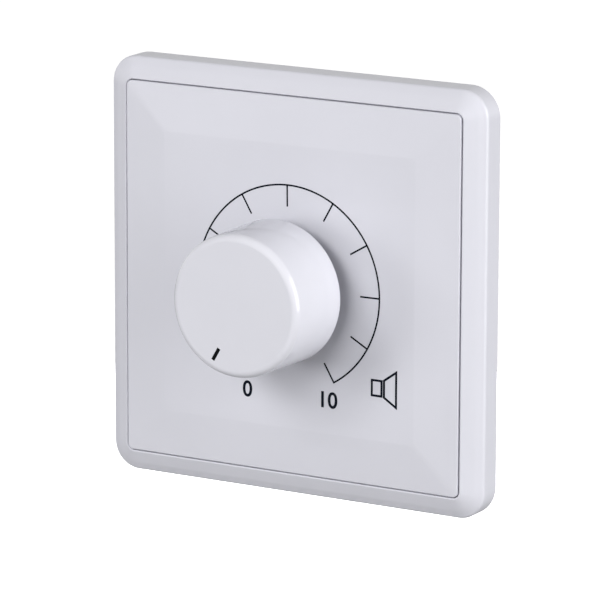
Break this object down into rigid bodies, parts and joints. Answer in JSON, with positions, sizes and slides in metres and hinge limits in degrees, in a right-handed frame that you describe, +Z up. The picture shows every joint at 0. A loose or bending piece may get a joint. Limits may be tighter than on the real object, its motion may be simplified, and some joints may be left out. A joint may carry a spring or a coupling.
{
  "type": "speaker volume control",
  "caption": "Flush wall volume control for a loudspeaker line: square cover frame, domed plate with a printed scale, and a round indexed knob on a rotary switch with transformer behind.",
  "frame": {"origin": "centre of the wall plane, on the knob axis", "axes": "+Y into the wall, +X to the right and +Z up as seen from the room; the front faces -Y"},
  "size_m": [0.08, 0.0687, 0.08],
  "materials": {
    "frame_plastic": "satin",
    "plate_plastic": "satin",
    "knob_plastic": "gloss",
    "spring_steel": "bright",
    "zinc_steel": "zinc plated",
    "black_plastic": "matt",
    "nickel_brass": "nickel plated",
    "shaft_brass": "turned",
    "ball_steel": "polished",
    "contact_bronze": "silvered",
    "laminate_brown": "matt",
    "board_green": "lacquered",
    "screw_steel": "zinc plated",
    "core_steel": "laminated",
    "bobbin_plastic": "matt",
    "tinned_wire": "tinned",
    "copper_wire": "enamelled",
    "tape_yellow": "satin",
    "terminal_green": "satin"
  },
  "bodies": {
    "control_housing": {"cover_frame": "frame_plastic", "centre_plate": "plate_plastic", "support_plate": "zinc_steel", "switch_housing": "black_plastic", "stop_ring": "zinc_steel", "lock_washer": "spring_steel", "bush_nut": "nickel_brass", "switch_base": "laminate_brown", "switch_pins": "contact_bronze", "circuit_board": "board_green", "board_pillars": "nickel_brass", "pillar_screws": "screw_steel", "core_e_stack": "core_steel", "core_i_stack": "core_steel", "bobbin": "bobbin_plastic", "bobbin_pins": "tinned_wire", "winding": "copper_wire", "winding_tape": "tape_yellow", "transformer_clamp": "zinc_steel", "clamp_screws": "screw_steel", "clamp_nuts": "screw_steel", "terminal_block": "terminal_green", "terminal_clamps": "nickel_brass", "terminal_screws": "screw_steel"},
    "turning_knob": {"knob": "knob_plastic", "knob_spring": "spring_steel", "switch_spindle": "shaft_brass", "detent_balls": "ball_steel", "detent_spring": "spring_steel", "wiper_contact": "contact_bronze"}
  },
  "joints": [
    {"name": "knob_turn", "type": "hinge", "parent": "control_housing", "child": "turning_knob", "pos_m": [0, 0, 0], "axis": [0, 1, 0], "range_deg": [0, 300]}
  ]
}
